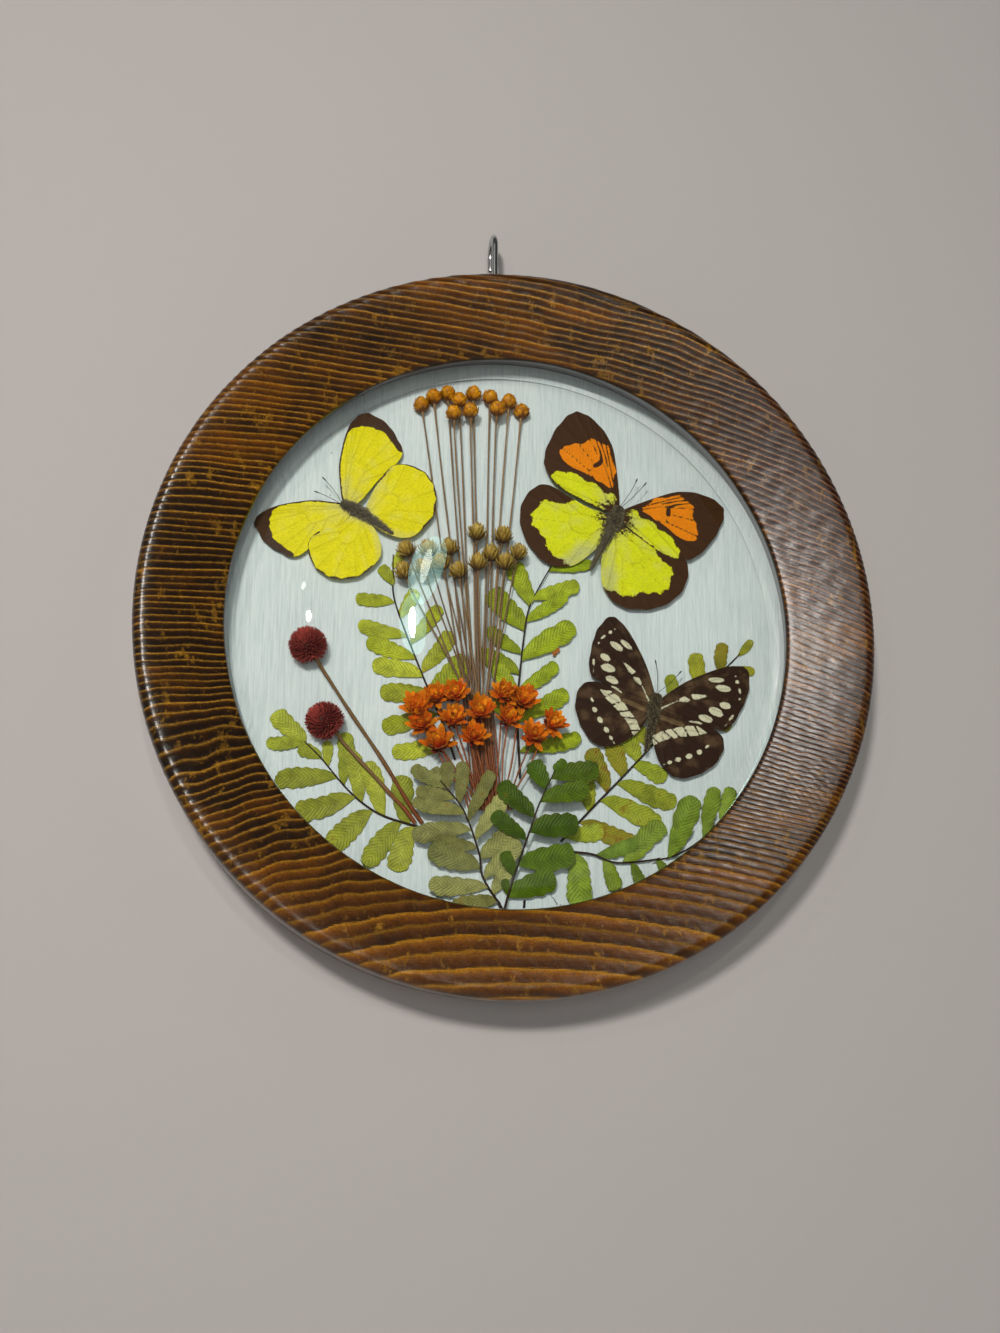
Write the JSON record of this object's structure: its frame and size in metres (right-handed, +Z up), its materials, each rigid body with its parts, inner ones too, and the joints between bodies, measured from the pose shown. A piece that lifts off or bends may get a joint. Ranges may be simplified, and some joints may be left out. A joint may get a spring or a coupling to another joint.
{
  "type": "framed butterfly picture with convex glass",
  "caption": "Round wall picture: spread butterflies, dried flowers and pressed ferns on silver paper, under convex glass in a turned ring of charred wood, with a wire hook to hang it by.",
  "frame": {"origin": "centre of the flat back, where the picture lies against the wall", "axes": "+X to the viewer's right, +Y into the wall, +Z up towards the hanging hook"},
  "size_m": [0.2, 0.025, 0.22],
  "materials": {
    "charred_softwood": "charred and wire brushed, thinly waxed",
    "clear_glass": "polished",
    "silver_paper": "pearly satin with fine fibres",
    "hardboard": "matte",
    "bright_steel_wire": "bright drawn wire",
    "pressed_fern": "dry matte leaf",
    "amber_flower_dried": "dry matte petals",
    "tan_flower_back_dried": "dry matte petals",
    "tan_flower_front_dried": "dry matte petals",
    "orange_flower_dried": "dry papery petals",
    "red_flower_dried": "dry fuzzy petals",
    "butterfly_yellow_scales": "powdery wing scales",
    "butterfly_orange_tip_scales": "powdery wing scales",
    "butterfly_banded_scales": "powdery wing scales"
  },
  "bodies": {
    "root": {"wood_ring": "charred_softwood", "glass_dome": "clear_glass", "silver_paper": "silver_paper", "backing_board": "hardboard", "hanging_hook": "bright_steel_wire", "fern_left": "pressed_fern", "fern_centre_left": "pressed_fern", "fern_centre_right": "pressed_fern", "fern_right": "pressed_fern", "fern_lower_right": "pressed_fern", "fern_front_left": "pressed_fern", "fern_front_right": "pressed_fern", "amber_flower_01": "amber_flower_dried", "amber_flower_02": "amber_flower_dried", "amber_flower_03": "amber_flower_dried", "amber_flower_04": "amber_flower_dried", "amber_flower_05": "amber_flower_dried", "amber_flower_06": "amber_flower_dried", "amber_flower_07": "amber_flower_dried", "amber_flower_08": "amber_flower_dried", "amber_flower_09": "amber_flower_dried", "amber_flower_10": "amber_flower_dried", "amber_flower_11": "amber_flower_dried", "tan_flower_back_01": "tan_flower_back_dried", "tan_flower_back_02": "tan_flower_back_dried", "tan_flower_back_03": "tan_flower_back_dried", "tan_flower_back_04": "tan_flower_back_dried", "tan_flower_back_05": "tan_flower_back_dried", "tan_flower_back_06": "tan_flower_back_dried", "tan_flower_back_07": "tan_flower_back_dried", "tan_flower_front_01": "tan_flower_front_dried", "tan_flower_front_02": "tan_flower_front_dried", "tan_flower_front_03": "tan_flower_front_dried", "tan_flower_front_04": "tan_flower_front_dried", "tan_flower_front_05": "tan_flower_front_dried", "tan_flower_front_06": "tan_flower_front_dried", "orange_flower_01": "orange_flower_dried", "orange_flower_02": "orange_flower_dried", "orange_flower_03": "orange_flower_dried", "orange_flower_04": "orange_flower_dried", "orange_flower_05": "orange_flower_dried", "orange_flower_06": "orange_flower_dried", "orange_flower_07": "orange_flower_dried", "orange_flower_08": "orange_flower_dried", "orange_flower_09": "orange_flower_dried", "orange_flower_10": "orange_flower_dried", "orange_flower_11": "orange_flower_dried", "orange_flower_12": "orange_flower_dried", "orange_flower_13": "orange_flower_dried", "red_flower_01": "red_flower_dried", "red_flower_02": "red_flower_dried", "butterfly_yellow": "butterfly_yellow_scales", "butterfly_orange_tip": "butterfly_orange_tip_scales", "butterfly_banded": "butterfly_banded_scales"}
  },
  "joints": []
}
